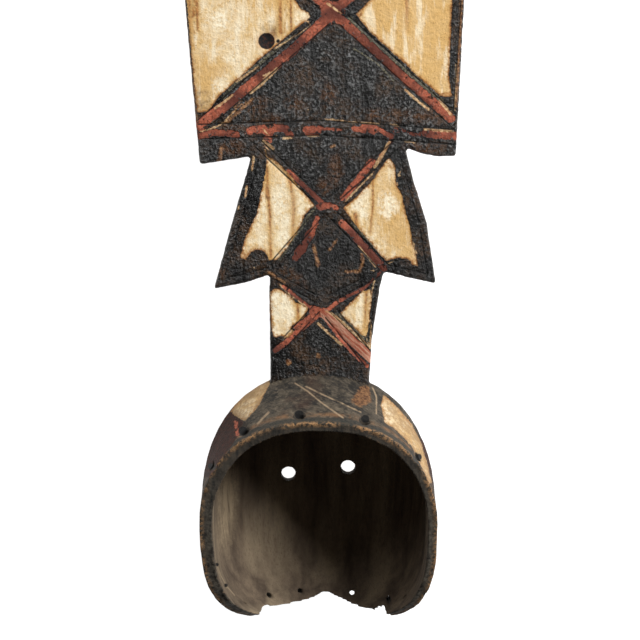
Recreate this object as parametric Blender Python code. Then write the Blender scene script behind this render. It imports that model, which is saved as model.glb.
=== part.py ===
# A plank mask of the Bwa kind: one piece of light wood, a hollow head under a tall flat board.
# It is drawn upright in carving axes (X across, Y up the board, Z out of its back, the board's
# back at Z 0 and its foot at Y 0) and then laid on its front, on its mouth and two horn tips.
import math

import bmesh
import bpy
from mathutils import Matrix, Vector

# Driving sizes, in metres
board_thickness = 0.023
horn_height = 0.910
horn_width = 0.030
crescent_depth = 0.078
crescent_steps = 18
board_edge_bevel = 0.0022

head_middle = -0.150
head_shift = -0.0017
head_lean = -0.010
head_widest = -0.005
head_side = 0.1360
head_top = 0.1610
head_bottom = 0.1440
head_front = 0.104
head_back = 0.130
wall = 0.0133
wall_front = 0.0160
wall_jaw = 0.0085
hollow_shift = 0.0018
crown_slope = 0.213
side_slope = 0.013
slope_bend = 0.8
slope_reach = 0.070
crown_roundness = 2.24
jaw_roundness = 3.0
face_roundness = 2.4
head_segments = 56
head_rings = 22

eye_radius = 0.0330
eye_rise = 0.0045
eye_disc = 0.0010
eye_root = 0.0080
eye_hole_radius = 0.0085
mouth_height = -0.205
mouth_radius = 0.031
mouth_flare = 0.007
mouth_lip = 0.0105
mouth_reach = -0.140
mouth_recess = 0.012
mouth_root = 0.055

rim_hole_radius = 0.0050
chin_hole_radius = 0.0030
groove_width = 0.0040
groove_depth = 0.0019
groove_overrun = 0.0010
groove_clear = 0.0015
knot_radius = 0.0090
knot_flatness = 0.35
cutter_reach = 0.20

# Edge of the board from its foot to its horn, as (distance from the middle line, height)
left_edge = [
    (-0.0570, -0.0080),
    (-0.0585, 0.1050),
    (-0.0575, 0.1245),
    (-0.0860, 0.1150),
    (-0.1225, 0.1080),
    (-0.1025, 0.1775),
    (-0.0788, 0.2590),
    (-0.1370, 0.2500),
    (-0.1520, 0.4340),
    (-0.1800, horn_height),
]
right_edge = [
    (0.0565, -0.0080),
    (0.0600, 0.0485),
    (0.0690, 0.1100),
    (0.0732, 0.1280),
    (0.1030, 0.1205),
    (0.1330, 0.1145),
    (0.1225, 0.1835),
    (0.1065, 0.2335),
    (0.0975, 0.2690),
    (0.1150, 0.2625),
    (0.1300, 0.2598),
    (0.1545, 0.2595),
    (0.1620, 0.4340),
    (0.1830, horn_height),
]

# Crossed bands: where they cross, and each arm's far end with its width
crossings = [
    ((0.0155, 0.4220), [(-0.1330, 0.2955, 0.0145), (0.1530, 0.2985, 0.0140),
                        (-0.1470, 0.5400, 0.0140), (0.1620, 0.5400, 0.0140)]),
    ((0.0057, 0.2030), [(-0.0700, 0.2740, 0.0100), (0.0860, 0.2730, 0.0100),
                        (-0.0547, 0.1330, 0.0110), (0.0735, 0.1330, 0.0110)]),
    ((0.0023, 0.0930), [(-0.0500, 0.1230, 0.0075), (0.0690, 0.1270, 0.0075),
                        (-0.0550, 0.0315, 0.0100), (0.0580, 0.0245, 0.0160)]),
    ((0.0050, 0.6800), [(-0.1500, 0.5620, 0.0140), (0.1600, 0.5620, 0.0140),
                        (-0.1580, 0.7960, 0.0140), (0.1680, 0.7960, 0.0140)]),
]
# Bands straight across the board: left end, middle and right end
cross_bands = [
    [(-0.1372, 0.2875), (0.0000, 0.2920), (0.1552, 0.2815)],
    [(-0.1575, 0.5510), (0.0000, 0.5510), (0.1665, 0.5510)],
    [(-0.1725, 0.8080), (0.0000, 0.8080), (0.1770, 0.8080)],
]
cross_band_width = 0.0165
# Lines cut along the edges of the wings, the neck and the board
edge_lines = [
    [(-0.1100, 0.1200), (-0.0930, 0.1780), (-0.0700, 0.2560)],
    [(0.1225, 0.1260), (0.1125, 0.1840), (0.0890, 0.2640)],
    [(-0.1100, 0.1200), (-0.0600, 0.1330)],
    [(0.1225, 0.1260), (0.0760, 0.1365)],
    [(0.0550, 0.0500), (0.0645, 0.1110)],
    [(0.1500, 0.3080), (0.1575, 0.4340), (0.1655, 0.5400)],
]

# Eyes as (across, height), and the raised rings round each as (inner, outer) radius
eyes = [(-0.0381, -0.1274), (0.0338, -0.1194)]
eye_rings = [(0.0240, eye_radius), (0.0115, 0.0185)]
# Lashing holes near the rim as (direction round the head, depth),
# and along the chin as the point where each one enters the hollow with the way it runs from there
wall_holes = [(152, 0.048), (128, 0.062), (99.5, 0.066), (66, 0.066), (33.5, 0.052)]
side_holes = [(205.5, 0.032), (218.5, 0.014), (332.5, -0.004)]
chin_holes = [
    ((-0.0882, -0.2640, -0.0130), (-0.55, -0.75, -0.35)),
    ((-0.0599, -0.2669, -0.0490), (-0.7, -0.10, -1.0)),
    ((-0.0229, -0.2645, -0.0600), (-0.7, -0.10, -1.0)),
    ((0.0385, -0.2656, -0.0580), (0.0, -0.31, -1.0)),
    ((0.0817, -0.2685, -0.0240), (0.0, 0.10, -1.0)),
    ((0.0998, -0.2560, -0.0110), (0.60, -0.72, -0.35)),
]

# Middle of the knot in the board's back
knot = (-0.0600, 0.3890, 0.0008)

# Back edge of the head seen from the side, as (height, depth), and its lower edge from behind
rim_line = [(0.060, 0.0920), (-0.028, 0.0850), (-0.110, 0.0800), (-0.180, 0.0680), (-0.225, 0.0520),
            (-0.252, 0.0340), (-0.270, 0.0100), (-0.2810, -0.0120), (-0.2900, -0.0500)]
chin_line = [(-0.0790, -0.3000), (-0.0765, -0.2790), (-0.0665, -0.2744), (-0.0524, -0.2768),
             (-0.0347, -0.2754), (-0.0156, -0.2728), (-0.0072, -0.2707), (0.0031, -0.2656),
             (0.0093, -0.2656), (0.0180, -0.2694), (0.0406, -0.2764), (0.0535, -0.2784),
             (0.0635, -0.2780), (0.0752, -0.2728), (0.0830, -0.2790), (0.0870, -0.3000)]

# Carving axes meet the floor in a line from the horn tips to the mouth
tilt = math.atan2(-board_thickness - mouth_reach, horn_height - mouth_height)


def clear_scene():
    for thing in list(bpy.data.objects):
        bpy.data.objects.remove(thing, do_unlink=True)


def add_ground():
    """The empty that carries the carving axes, so that the mask and its guides turn together."""
    empty = bpy.data.objects.new("carving axes", None)
    bpy.context.scene.collection.objects.link(empty)
    return empty


def add_object(name, shape):
    mesh = bpy.data.meshes.new(name)
    bmesh.ops.recalc_face_normals(shape, faces=shape.faces)
    shape.to_mesh(mesh)
    shape.free()
    thing = bpy.data.objects.new(name, mesh)
    bpy.context.scene.collection.objects.link(thing)
    thing.parent = ground
    return thing


def combine(target, tool, operation, overlapping=False):
    """Add or cut the tool with a Boolean and keep the tool as a hidden guide."""
    tool.hide_render = True
    tool.display_type = "WIRE"
    step = target.modifiers.new(tool.name, "BOOLEAN")
    step.operation = operation
    step.object = tool
    step.solver = "EXACT"
    step.use_self = overlapping


def prism(shape, outline, low, high, place=Matrix.Identity(4)):
    """Close an outline in X and Y into a straight block between two depths."""
    floor = [shape.verts.new(place @ Vector((x, y, low))) for x, y in outline]
    face = shape.faces.new(floor)
    grown = bmesh.ops.extrude_face_region(shape, geom=[face])["geom"]
    risen = [item for item in grown if isinstance(item, bmesh.types.BMVert)]
    bmesh.ops.translate(shape, verts=risen, vec=place.to_3x3() @ Vector((0, 0, high - low)))


def crescent():
    """Points of the hollow between the horns, from the right horn to the left one."""
    left = left_edge[-1][0] + horn_width
    right = right_edge[-1][0] - horn_width
    middle, half = (left + right) / 2, (right - left) / 2
    radius = (half * half + crescent_depth * crescent_depth) / (2 * crescent_depth)
    sweep = math.asin(half / radius)
    for step in range(crescent_steps + 1):
        angle = sweep * (1 - 2 * step / crescent_steps)
        drop = radius * math.cos(angle) - radius * math.cos(sweep)
        yield middle + radius * math.sin(angle), horn_height - drop


def make_board():
    shape = bmesh.new()
    outline = right_edge + list(crescent()) + list(reversed(left_edge))
    prism(shape, outline, -board_thickness, 0.0)
    board = add_object("board", shape)
    bevel = board.modifiers.new("worn edges", "BEVEL")
    bevel.width = board_edge_bevel
    bevel.segments = 1
    bevel.limit_method = "ANGLE"
    bevel.angle_limit = math.radians(60)
    combine(board, make_knot_cutter(), "DIFFERENCE")
    combine(board, make_grooves(1), "DIFFERENCE", overlapping=True)
    combine(board, make_grooves(-1), "DIFFERENCE", overlapping=True)
    return board


def outline_radius(angle, hollow=False):
    """Distance from the head's middle to its outline: rounder at the crown, squarer at the jaw."""
    side = head_side - (wall if hollow else 0.0)
    if math.sin(angle) > 0:
        height, power = head_top - (wall if hollow else 0.0), crown_roundness
    else:
        height, power = head_bottom - (wall_jaw if hollow else 0.0), jaw_roundness
    across = abs(math.cos(angle) / side) ** power
    along = abs(math.sin(angle) / height) ** power
    return (across + along) ** (-1 / power)


def rear_scale(angle, depth):
    """How far the walls draw in behind the head's widest part, most of all at the crown."""
    travel = max(0.0, depth - head_widest) / slope_reach
    crown = max(0.0, math.sin(angle)) ** 2
    return 1 - (side_slope + (crown_slope - side_slope) * crown) * travel ** slope_bend


def front_scale(depth, front):
    """How far the bowl of the face draws in, from 1 at its widest to 0 at its front."""
    reach = min(1.0, max(0.0, (head_widest - depth) / front))
    return (1 - reach ** face_roundness) ** (1 / face_roundness)


def head_place(angle, radius, depth, hollow):
    """A point of the head from its direction, distance and depth; the head leans a little."""
    aside = head_shift + (hollow_shift if hollow else 0.0)
    up = radius * math.sin(angle)
    return Vector((aside + radius * math.cos(angle) + head_lean * up, head_middle + up, depth))


def wall_point(angle, depth, hollow=False):
    """Where the head's wall is in a direction at a depth, on its outside or in its hollow."""
    radius = outline_radius(angle, hollow)
    if depth > head_widest:
        radius *= rear_scale(angle, depth)
    else:
        radius *= front_scale(depth, head_front - (wall_front if hollow else 0.0))
    return head_place(angle, radius, depth, hollow)


def make_bowl(name, hollow=False):
    """A ball reshaped into the head: a blunt bowl in front, walls nearly straight behind."""
    front = head_front - (wall_front if hollow else 0.0)
    shape = bmesh.new()
    bmesh.ops.create_uvsphere(shape, u_segments=head_segments, v_segments=head_rings, radius=1)
    for vert in shape.verts:
        angle = math.atan2(vert.co.y, vert.co.x)
        polar = math.acos(max(-1.0, min(1.0, vert.co.z)))
        spread, reach = math.sin(polar), -math.cos(polar)
        radius = outline_radius(angle, hollow)
        if reach > 1e-6:
            size = (spread ** face_roundness + reach ** face_roundness) ** (-1 / face_roundness)
            depth = head_widest - size * reach * front
            radius *= size * spread
        else:
            travel = 1 - polar / (math.pi / 2)
            depth = head_widest + (head_back - head_widest) * travel
            radius *= 0 if spread < 1e-6 else rear_scale(angle, depth)
        vert.co = head_place(angle, radius, depth, hollow)
    return add_object(name, shape)


def turned(name, profile, place, steps=32):
    """Turn a closed profile of (radius, height) round Z and put it in place."""
    shape = bmesh.new()
    verts = [shape.verts.new((radius, 0, height)) for radius, height in profile]
    edges = [shape.edges.new(pair) for pair in zip(verts, verts[1:])]
    bmesh.ops.spin(shape, geom=verts + edges, axis=(0, 0, 1), cent=(0, 0, 0),
                   angle=math.tau, steps=steps, use_merge=True)
    bmesh.ops.remove_doubles(shape, verts=shape.verts, dist=1e-6)
    bmesh.ops.transform(shape, matrix=place, verts=shape.verts)
    return add_object(name, shape)


def face_axis(x, y):
    """Frame at a point of the face, its Z looking straight out of the front surface there."""
    angle = math.atan2(y - head_middle, x)
    radius = math.hypot(x, y - head_middle)
    share = radius / outline_radius(angle)
    reach = (1 - share ** face_roundness) ** (1 / face_roundness)
    slope = (share / reach) ** (face_roundness - 1) * head_front / head_side
    out = Vector((math.cos(angle) * slope, math.sin(angle) * slope, -1)).normalized()
    turn = Vector((0, 0, 1)).rotation_difference(out).to_matrix().to_4x4()
    return Matrix.Translation((x, y, head_widest - reach * head_front)) @ turn


def make_eye(name, x, y):
    """Raised rings on a flat disc, standing a little proud of the face."""
    profile = [(0.0, -eye_root), (eye_radius, -eye_root)]
    for inner, outer in eye_rings:
        slant = (outer - inner) / 4
        profile += [(outer, eye_disc), (outer - slant, eye_rise), (inner + slant, eye_rise),
                    (inner, eye_disc)]
    profile.append((0.0, eye_disc))
    return turned(name, profile, face_axis(x, y))


def floor_depth(y):
    """Depth of the floor under the mask as it lies, in carving axes."""
    return -board_thickness - (horn_height - y) * math.tan(tilt)


def make_mouth():
    """A short round muzzle with a blind recess; its flat end lies on the floor."""
    end = floor_depth(mouth_height)
    place = Matrix.Translation((0, mouth_height, end)) @ Matrix.Rotation(math.pi + tilt, 4, "X")
    opening = mouth_radius - mouth_lip
    profile = [(0.0, -mouth_root), (mouth_radius + mouth_flare, -mouth_root),
               (mouth_radius, -mouth_recess / 2), (mouth_radius - mouth_lip / 5, 0.0),
               (opening, 0.0), (opening * 0.9, -mouth_recess * 0.7),
               (opening * 0.7, -mouth_recess), (0.0, -mouth_recess)]
    return turned("mouth", profile, place)


def make_rim_cutter():
    shape = bmesh.new()
    low, high = rim_line[-1][0] - 0.060, rim_line[0][0]
    behind = [(low, rim_line[-1][1]), (low, cutter_reach), (high, cutter_reach)]
    stand = Matrix(((0, 0, 1, 0), (1, 0, 0, 0), (0, 1, 0, 0), (0, 0, 0, 1)))
    prism(shape, rim_line + behind, -cutter_reach, cutter_reach, stand)
    return add_object("rim cutter", shape)


def make_chin_cutter():
    shape = bmesh.new()
    prism(shape, chin_line, -cutter_reach, cutter_reach)
    return add_object("chin cutter", shape)


def rod(shape, start, end, radius, sides=10):
    """A straight round cutter from one point to another."""
    along = end - start
    turn = Vector((0, 0, 1)).rotation_difference(along).to_matrix().to_4x4()
    place = Matrix.Translation((start + end) / 2) @ turn
    bmesh.ops.create_cone(shape, cap_ends=True, segments=sides, radius1=radius, radius2=radius,
                          depth=along.length, matrix=place)


def make_hole_cutter():
    """Eye holes and the holes that a fibre costume was lashed through."""
    shape = bmesh.new()
    for x, y in eyes:
        rod(shape, Vector((x, y, mouth_reach)), Vector((x, y, head_widest)), eye_hole_radius, 20)
    for places, radius in ((wall_holes, rim_hole_radius), (side_holes, chin_hole_radius)):
        for degrees, depth in places:
            angle = math.radians(degrees)
            outside = wall_point(angle, depth)
            inside = wall_point(angle, depth, hollow=True)
            reach = (outside - inside).normalized() * 0.010
            rod(shape, inside - reach, outside + reach, radius)
    for place, way in chin_holes:
        inside, run = Vector(place), Vector(way).normalized()
        rod(shape, inside - run * 0.010, inside + run * 0.100, chin_hole_radius)
    return add_object("hole cutter", shape)


def groove(shape, start, end, face):
    """A sharp-edged block that cuts a V line between two points of the board's face."""
    start, end = Vector((*start, 0)), Vector((*end, 0))
    along = (end - start).normalized()
    start, end = start - along * groove_overrun, end + along * groove_overrun
    side = Vector((0, 0, 1)).cross(along)
    level = 0.0 if face > 0 else -board_thickness
    place = Matrix((side, (0, 0, 1), along)).transposed().to_4x4()
    place.translation = start + Vector((0, 0, level))
    half = groove_width / 2 * (groove_depth + groove_clear) / groove_depth
    outline = [(-half, groove_clear * face), (half, groove_clear * face), (0, -groove_depth * face)]
    prism(shape, outline, 0.0, (end - start).length, place)


def band_sides(start, end, width):
    """The two edges of a straight band, beside its middle line."""
    start, end = Vector(start), Vector(end)
    aside = (end - start).orthogonal().normalized() * width / 2
    return [(start + aside, end + aside), (start - aside, end - aside)]


def make_grooves(face):
    """Lines cut beside every painted band and along the worn edges, on one face of the board."""
    shape = bmesh.new()
    for cross, arms in crossings:
        for x, y, width in arms:
            run = Vector((x, y)) - Vector(cross)
            start = Vector(cross) + run.normalized() * width
            for line in band_sides(start, Vector((x, y)), width):
                groove(shape, *line, face)
    for band in cross_bands:
        for start, end in zip(band, band[1:]):
            for line in band_sides(start, end, cross_band_width):
                groove(shape, *line, face)
    for line in edge_lines:
        for start, end in zip(line, line[1:]):
            groove(shape, start, end, face)
    return add_object("grooves behind" if face > 0 else "grooves in front", shape)


def make_knot_cutter():
    """A blind round knot in the wood, sunk a little below the board's back."""
    shape = bmesh.new()
    bmesh.ops.create_uvsphere(shape, u_segments=16, v_segments=8, radius=knot_radius)
    bmesh.ops.scale(shape, vec=(1, 1.05, knot_flatness), verts=shape.verts)
    bmesh.ops.translate(shape, vec=knot, verts=shape.verts)
    return add_object("knot", shape)


def painted_wood():
    material = bpy.data.materials.new("painted_wood")
    material.use_nodes = True
    shader = material.node_tree.nodes["Principled BSDF"]
    shader.inputs["Base Color"].default_value = (0.030, 0.024, 0.019, 1)
    shader.inputs["Roughness"].default_value = 0.6
    shader.inputs["Metallic"].default_value = 0.0
    return material


def lay_down(mask):
    """Rest the mask on its front with the middle of its box's underside on the origin."""
    ground.rotation_euler.x = -tilt
    solid = mask.evaluated_get(bpy.context.evaluated_depsgraph_get())
    turn = Matrix.Rotation(-tilt, 4, "X")
    points = [turn @ vert.co for vert in solid.data.vertices]
    low = [min(point[axis] for point in points) for axis in range(3)]
    high = [max(point[axis] for point in points) for axis in range(3)]
    ground.location = (-(low[0] + high[0]) / 2, -(low[1] + high[1]) / 2, -low[2])


def make_mask():
    mask = make_bowl("plank_mask")
    combine(mask, make_board(), "UNION")
    for index, (x, y) in enumerate(eyes):
        combine(mask, make_eye(f"eye {index + 1}", x, y), "UNION")
    combine(mask, make_mouth(), "UNION")
    combine(mask, make_bowl("hollow", hollow=True), "DIFFERENCE")
    combine(mask, make_rim_cutter(), "DIFFERENCE")
    combine(mask, make_chin_cutter(), "DIFFERENCE")
    combine(mask, make_hole_cutter(), "DIFFERENCE")
    mask.data.materials.append(painted_wood())
    mask.data.shade_smooth()
    mask.data.set_sharp_from_angle(angle=math.radians(35))
    return mask


clear_scene()
ground = add_ground()
lay_down(make_mask())
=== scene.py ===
import math

import bmesh
import bpy
import numpy as np
from mathutils import Matrix, Vector


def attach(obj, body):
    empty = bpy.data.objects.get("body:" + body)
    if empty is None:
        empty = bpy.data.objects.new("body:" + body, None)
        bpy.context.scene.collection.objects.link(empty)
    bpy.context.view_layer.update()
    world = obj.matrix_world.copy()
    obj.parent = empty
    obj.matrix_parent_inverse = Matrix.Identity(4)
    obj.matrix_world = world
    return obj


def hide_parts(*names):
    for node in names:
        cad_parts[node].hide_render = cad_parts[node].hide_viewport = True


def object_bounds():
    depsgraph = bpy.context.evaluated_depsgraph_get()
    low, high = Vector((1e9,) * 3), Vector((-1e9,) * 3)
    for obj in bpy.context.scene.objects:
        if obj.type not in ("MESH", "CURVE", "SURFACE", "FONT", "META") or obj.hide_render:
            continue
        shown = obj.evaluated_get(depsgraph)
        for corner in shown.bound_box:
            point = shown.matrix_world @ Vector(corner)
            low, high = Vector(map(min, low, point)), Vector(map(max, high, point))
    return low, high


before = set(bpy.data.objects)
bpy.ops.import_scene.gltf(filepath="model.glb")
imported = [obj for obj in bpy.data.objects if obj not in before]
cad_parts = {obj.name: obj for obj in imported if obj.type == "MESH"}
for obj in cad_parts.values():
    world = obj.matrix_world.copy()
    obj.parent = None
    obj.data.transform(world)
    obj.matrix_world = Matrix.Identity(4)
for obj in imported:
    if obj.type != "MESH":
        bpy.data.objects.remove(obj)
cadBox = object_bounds()
print("frame loaded")

# The mask is drawn upright in carving axes: X across, Y up the board, Z out of its back.
# Lengths of the carving are metres, and the painting is in millimetres on the board's back.
carving = {
    "foot": (-0.0015, -0.3103, 0.1178),  # foot of the board's back, in the frame
    "boardThickness": 0.023,
    "hornHeight": 0.910,
    "mouthHeight": -0.205,
    "mouthReach": 0.140,
}

head = {
    "middle": -0.150, "shift": -0.0017, "lean": -0.010, "widest": -0.005,
    "side": 0.1360, "top": 0.1610, "bottom": 0.1440, "front": 0.104,
    "wall": 0.0133, "wallFront": 0.0160, "wallJaw": 0.0085, "hollowShift": 0.0018,
    "crownSlope": 0.213, "sideSlope": 0.013, "slopeBend": 0.8, "slopeReach": 0.070,
    "crownRoundness": 2.24, "jawRoundness": 3.0, "faceRoundness": 2.4,
    "eyes": [(-0.0381, -0.1274), (0.0338, -0.1194)],
}

rimLine = [(0.060, 0.0920), (-0.028, 0.0850), (-0.110, 0.0800), (-0.180, 0.0680), (-0.225, 0.0520),
           (-0.252, 0.0340), (-0.270, 0.0100), (-0.2810, -0.0120), (-0.2900, -0.0500)]

# Where each part of the surface begins: levels of the head's wall, and depths in metres
zones = {
    "board": 1.012, "hollow": 1.022, "wall": 0.985,
    "boardBack": 0.0012, "boardFront": -0.026, "boardFoot": -0.02, "face": -0.050,
}
levelSpan = {"hollow": 115, "wall": 150, "lip": 130}  # about how many millimetres one level spans
farAway = 60  # millimetres, past every painted shape

camera = {"distance": 2.10, "pitch": 8.0, "aim": 0.0732, "lens": 103.17, "sensor": 36}

tilt = math.atan2(carving["mouthReach"] - carving["boardThickness"],
                  carving["hornHeight"] - carving["mouthHeight"])
upright = Matrix.Translation(carving["foot"]) @ Matrix.Rotation(-tilt, 4, "X")
pitch = math.radians(camera["pitch"])
eyePoint = Vector((0, camera["aim"] + camera["distance"] * math.sin(pitch),
                   camera["distance"] * math.cos(pitch)))

# Painted fields, as outlines in millimetres on the board's back, as the camera sees them there
creamFields = {
    "upperLeft": [(-139, 309), (-126, 310), (-115, 326), (-96, 343), (-65, 371), (-34, 397),
                  (-16, 410), (-9, 418), (-22, 426), (-27, 434), (-60, 462), (-100, 491),
                  (-138, 520), (-154, 524), (-149, 434), (-142, 340)],
    "upperRight": [(40, 419), (56, 399), (84, 374), (112, 348), (136, 327), (149, 327),
                   (145, 351), (148, 434), (153, 517), (140, 508), (100, 475), (59, 437)],
    "leftWing": [(-60, 260), (-54, 258), (-44, 250), (-34, 239), (-20, 222), (-6, 205), (-17, 194),
                 (-25, 174), (-39, 154), (-49, 142), (-83, 142), (-91, 145), (-86, 165), (-80, 179),
                 (-72, 194), (-66, 222), (-61, 245)],
    "rightWing": [(78, 259), (71, 250), (62, 236), (43, 216), (26, 202), (36, 188), (55, 165),
                  (75, 141), (91, 145), (104, 142), (104, 137), (113, 135), (106, 159), (102, 182),
                  (97, 199), (93, 216), (86, 230), (85, 250)],
    "neckLeft": [(-55, 109), (-46, 110), (-35, 101), (-27, 94), (-13, 87), (-18, 76), (-33, 65),
                 (-30, 58), (-38, 52), (-45, 55), (-53, 52), (-57, 71), (-57, 99)],
    "neckRight": [(58, 109), (59, 96), (57, 76), (56, 67), (53, 54), (47, 56), (37, 67), (22, 80),
                  (34, 93), (48, 106)],
    "domeLeft": [(-57, 1), (-64, -13), (-70, -26), (-87, -45), (-97, -39), (-104, -33), (-92, -18),
                 (-75, -5), (-63, 2)],
    "domeRight": [(73, -13), (89, -28), (105, -47), (117, -70), (124, -94), (130, -118), (126, -118),
                  (112, -86), (105, -73), (87, -54), (75, -47), (70, -26)],
    "panelLeft": [(-157, 575), (-15, 680), (-168, 782)],
    "panelRight": [(156, 580), (25, 680), (165, 779)],
    "hornLeft": [(-168, 826), (-112, 824), (-150, 868), (-172, 898)],
    "hornRight": [(172, 826), (114, 824), (152, 868), (175, 898)],
}
blackLobe = (-70.5, 141.5, 12.4)  # a round of black paint run into the left wing's cream

# Strokes of red as (half width, points), then patches as (x, y, half length, half width, turn)
redStrokes = [
    (5.8, [(-138, 295), (-109, 315), (-67, 349), (-28, 381), (-6, 402), (13, 418)]),
    (5.4, [(6, 423), (24, 412), (52, 387), (79, 362), (99, 344), (126, 322), (148, 303)]),
    (5.6, [(16, 423), (-147, 540)]), (5.6, [(16, 423), (162, 540)]),
    (5.0, [(5, 680), (-150, 562)]), (5.0, [(5, 680), (160, 562)]),
    (5.0, [(5, 680), (-158, 796)]), (5.0, [(5, 680), (168, 796)]),
    (5.6, [(-150, 551), (-40, 552)]), (5.2, [(-10, 551), (92, 551)]), (5.6, [(118, 551), (165, 550)]),
    (5.4, [(-168, 808), (-64, 809)]), (5.4, [(-30, 808), (172, 808)]),
    (3.8, [(-136, 283), (-119, 287), (-102, 286), (-94, 284)]), (4.6, [(-79, 289), (-64, 291), (-58, 286)]),
    (4.4, [(-51, 292), (-39, 291)]), (2.0, [(-38, 286), (-31, 283)]), (3.6, [(-16, 290), (0, 291)]),
    (1.6, [(-15, 284), (-2, 284)]), (2.0, [(-62, 280), (-56, 277)]), (3.4, [(39, 291), (49, 289)]),
    (2.4, [(49, 294), (62, 293), (71, 288), (81, 282)]), (2.8, [(81, 283), (80, 277)]),
    (1.5, [(85, 292), (96, 289)]), (4.6, [(119, 286), (137, 284), (154, 283)]),
    (2.0, [(102, 286), (111, 284)]),
    (1.6, [(6, 291), (24, 290)]),
    (2.8, [(-36, 243), (-25, 233), (-13, 222), (4, 206)]), (3.0, [(-3, 190), (-9, 173)]),
    (3.4, [(-10, 171), (-21, 156), (-28, 144)]), (2.2, [(-17, 158), (-25, 146)]),
    (3.8, [(59, 254), (51, 244), (42, 232), (26, 213)]), (1.6, [(80, 277), (75, 269), (68, 261)]),
    (4.2, [(26, 184), (34, 176), (47, 161), (61, 146), (73, 133)]), (3.2, [(2, 205), (18, 202)]),
    (2.0, [(-42, 112), (-32, 104), (-19, 93), (-9, 86)]), (3.2, [(-51, 38), (-38, 48), (-26, 60), (-3, 78)]),
    (1.6, [(-30, 65), (-21, 71), (-9, 80)]), (4.6, [(-8, 85), (4, 81)]),
    (2.3, [(9, 85), (19, 93), (31, 100)]),
    (1.6, [(31, 100), (51, 110), (59, 118), (68, 127)]), (2.2, [(8, 73), (22, 53), (37, 36), (54, 20)]),
    (2.2, [(-97, -46), (-95, -60)]),
]
redPatches = [(16, 423, 10, 10, 0), (5, 680, 9, 9, 0), (60, 288, 7, 3, -20), (5, 204, 9, 4.5, 10),
              (-12, 170, 8, 5, 55), (-22, 154, 10, 5.5, 50)]
roseChannel = (5.6, [(6, 80), (30, 56), (59, 29)])  # the sunk arm at the neck's lower right

# Scratches and fringes where bare wood and pale ground show through
paleStrokes = [
    (1.9, [(-78, 332), (-67, 340), (-49, 358)]), (0.8, [(-107, 300), (-94, 314)]),
    (0.9, [(-135, 288), (-117, 293), (-107, 299)]), (1.2, [(-94, 344), (-82, 352), (-69, 360)]),
    (0.8, [(-50, 381), (-32, 392), (-11, 406)]), (0.8, [(-64, 350), (-58, 353)]),
    (1.0, [(-118, 314), (-98, 329)]),
    (1.3, [(96, 335), (109, 323), (122, 313)]), (1.6, [(135, 323), (148, 307)]),
    (0.7, [(153, 364), (152, 312)]),
    (0.9, [(6, 302), (26, 300)]), (0.8, [(32, 299), (41, 298)]), (0.9, [(47, 298), (68, 296)]),
    (1.2, [(80, 296), (88, 294)]), (1.4, [(118, 291), (150, 288)]), (0.8, [(96, 277), (107, 276)]),
    (1.8, [(-64, 277), (-53, 269)]), (1.3, [(-75, 260), (-77, 245)]), (1.2, [(-83, 226), (-85, 214)]),
    (0.8, [(-92, 204), (-93, 200)]), (1.0, [(-62, 267), (-60, 258)]),
    (1.9, [(78, 275), (68, 258), (62, 248)]),
    (0.8, [(60, 241), (43, 224), (29, 209)]), (0.9, [(44, 158), (63, 135)]),
    (0.8, [(-46, 114), (-38, 105), (-26, 96), (-15, 88)]), (1.1, [(-41, 53), (-31, 60)]),
    (1.3, [(-2, 69), (14, 54), (25, 44)]), (1.6, [(14, 80), (34, 63), (57, 41)]), (1.1, [(7, 83), (14, 81)]),
    (1.0, [(58, 73), (58, 44)]), (0.8, [(-57, 105), (-58, 59)]), (0.8, [(62, 119), (59, 105), (58, 93)]),
    (0.8, [(-16, -4), (6, -15), (26, -24), (47, -34)]), (1.2, [(-59, -34), (-73, -49)]),
    (0.8, [(60, -4), (65, -16), (65, -36)]), (0.9, [(-25, 412), (-12, 410)]), (1.0, [(8, 431), (24, 419)]),
    (0.5, [(-120, -215), (-116, -228), (-109, -241), (-99, -253)]), (0.7, [(-64, 291), (-58, 284)]),
]
crownStrokes = [(0.8, [(-29, 0), (-15, -9), (3, -24), (27, -41)])]
palePatches = [
    (-37, 281, 6, 1.6, 0), (-8, 283, 8, 1.1, 4), (90, 240, 1.6, 3.4, 0), (88, 228, 1.6, 2.0, 0),
    (106, 158, 1.4, 7, 8), (109, 148, 1.6, 4, 0), (-76, 133, 2.0, 1.2, 0), (61, 130, 3.0, 0.9, 0),
    (80, 139, 2.2, 0.8, 20), (43, 289, 2.0, 1.2, 0), (-48, 283, 2.2, 1.2, 0), (-14, 313, 1.2, 1.0, 0),
]
# Dull strips of grey-green undercoat laid open beside the bands
greyStrokes = [
    (1.9, [(-109, 325), (-96, 342), (-77, 357), (-65, 366), (-47, 381), (-32, 393)]),
    (2.4, [(34, 414), (47, 398), (67, 381), (90, 362), (111, 344), (137, 322)]),
    (2.2, [(-6, 201), (-17, 186), (-28, 171), (-46, 143)]), (1.6, [(36, 184), (57, 163), (77, 143)]),
    (1.6, [(-28, 240), (-6, 215)]), (1.5, [(19, 80), (41, 62), (58, 44)]),
    (0.8, [(37, 381), (62, 366), (84, 344)]), (2.2, [(-50, 400), (-20, 424)]), (2.0, [(57, 66), (58, 50)]),
]
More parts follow.
